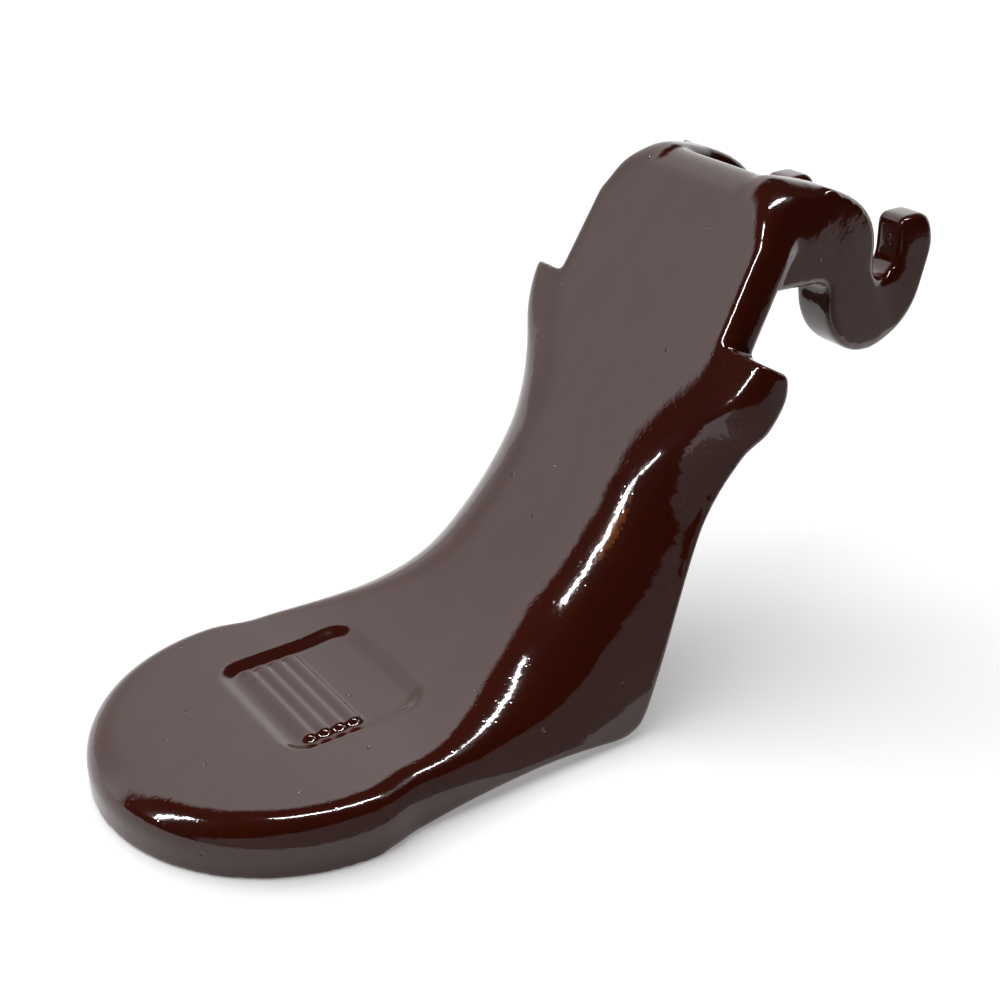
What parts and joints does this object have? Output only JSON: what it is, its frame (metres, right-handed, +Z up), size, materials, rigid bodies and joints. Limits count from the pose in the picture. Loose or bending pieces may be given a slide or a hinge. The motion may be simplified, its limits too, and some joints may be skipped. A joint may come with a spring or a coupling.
{
  "type": "drinking bowl press paddle",
  "caption": "Round muzzle-operated press paddle of a livestock drinking bowl, curving up to a shank with two rear hooks that hang on a pivot pin; glossy brown enamelled cast iron.",
  "frame": {"origin": "under the middle of the casting's box, on the ground plane it stands on", "axes": "+Z up, the paddle points along -Y and the pivot hooks along +Y, X = 0 is the mirror plane"},
  "size_m": [0.0846, 0.2032, 0.112],
  "materials": {
    "enamel": "high-gloss dark red-brown vitreous enamel on cast iron, slight orange peel",
    "enamel_panel": "high-gloss dark red-brown vitreous enamel pooled in a cast recess"
  },
  "bodies": {
    "root": {"paddle_nose": "enamel", "paddle_rim": "enamel", "panel_floor": "enamel_panel", "panel_bars": "enamel_panel", "left_cheek": "enamel", "right_cheek": "enamel", "throat_plate": "enamel", "left_heel": "enamel", "right_heel": "enamel", "left_flank": "enamel", "right_flank": "enamel", "shank_plate": "enamel", "shoulder_web": "enamel", "left_ear": "enamel", "right_ear": "enamel", "upper_plate": "enamel", "crown": "enamel", "left_arm": "enamel", "right_arm": "enamel", "left_hook": "enamel", "right_hook": "enamel"}
  },
  "joints": []
}
